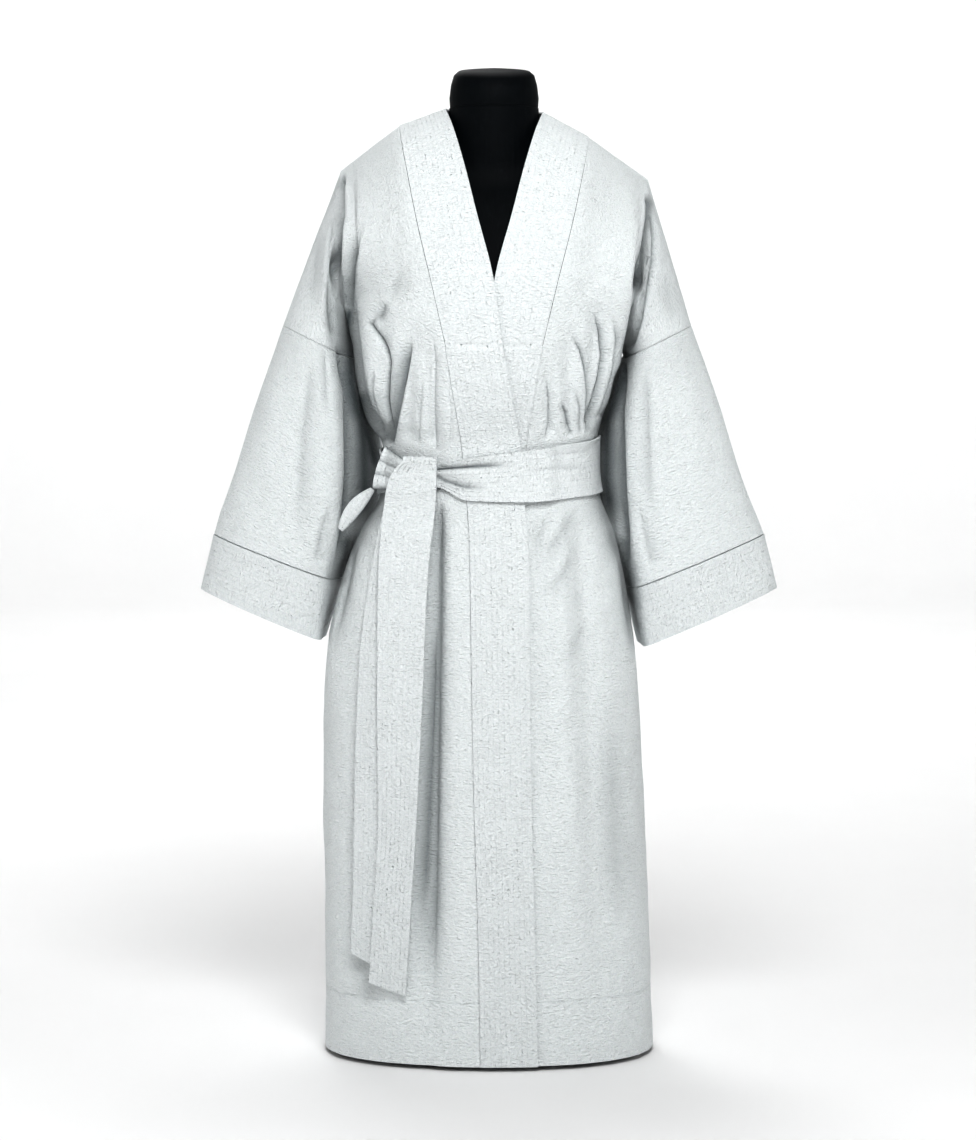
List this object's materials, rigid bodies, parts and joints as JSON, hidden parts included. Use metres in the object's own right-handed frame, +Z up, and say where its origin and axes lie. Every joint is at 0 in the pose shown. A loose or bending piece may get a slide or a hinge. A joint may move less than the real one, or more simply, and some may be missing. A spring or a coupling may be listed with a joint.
{
  "type": "kimono robe on a dress form",
  "caption": "Knee-length wrap robe with a quilted neckband, wide cuffs and a tied belt, worn by a limbless dress form that stands on the floor",
  "frame": {"origin": "centre of the stand's underside, on the floor under the form's neck", "axes": "+Z up, -Y the robe's front, +X the wearer's left"},
  "size_m": [0.7224, 0.2912, 1.2327],
  "materials": {
    "washed_cotton": "crinkled plain weave, matte",
    "stitched_cotton": "crinkled plain weave with rows of stitching",
    "black_jersey": "stretched knit, matte",
    "black_steel": "satin black"
  },
  "bodies": {
    "root": {"back": "washed_cotton", "front_left": "washed_cotton", "front_right": "washed_cotton", "sleeve_left": "washed_cotton", "sleeve_right": "washed_cotton", "band_left": "stitched_cotton", "band_right": "stitched_cotton", "cuff_left": "stitched_cotton", "cuff_right": "stitched_cotton", "belt_waist": "stitched_cotton", "belt_knot": "stitched_cotton", "belt_end": "stitched_cotton", "belt_tail_back": "stitched_cotton", "belt_tail_front": "stitched_cotton", "dress_form": "black_jersey", "neck_cap": "black_jersey", "stand_pole": "black_steel", "stand_base": "black_steel"}
  },
  "joints": []
}
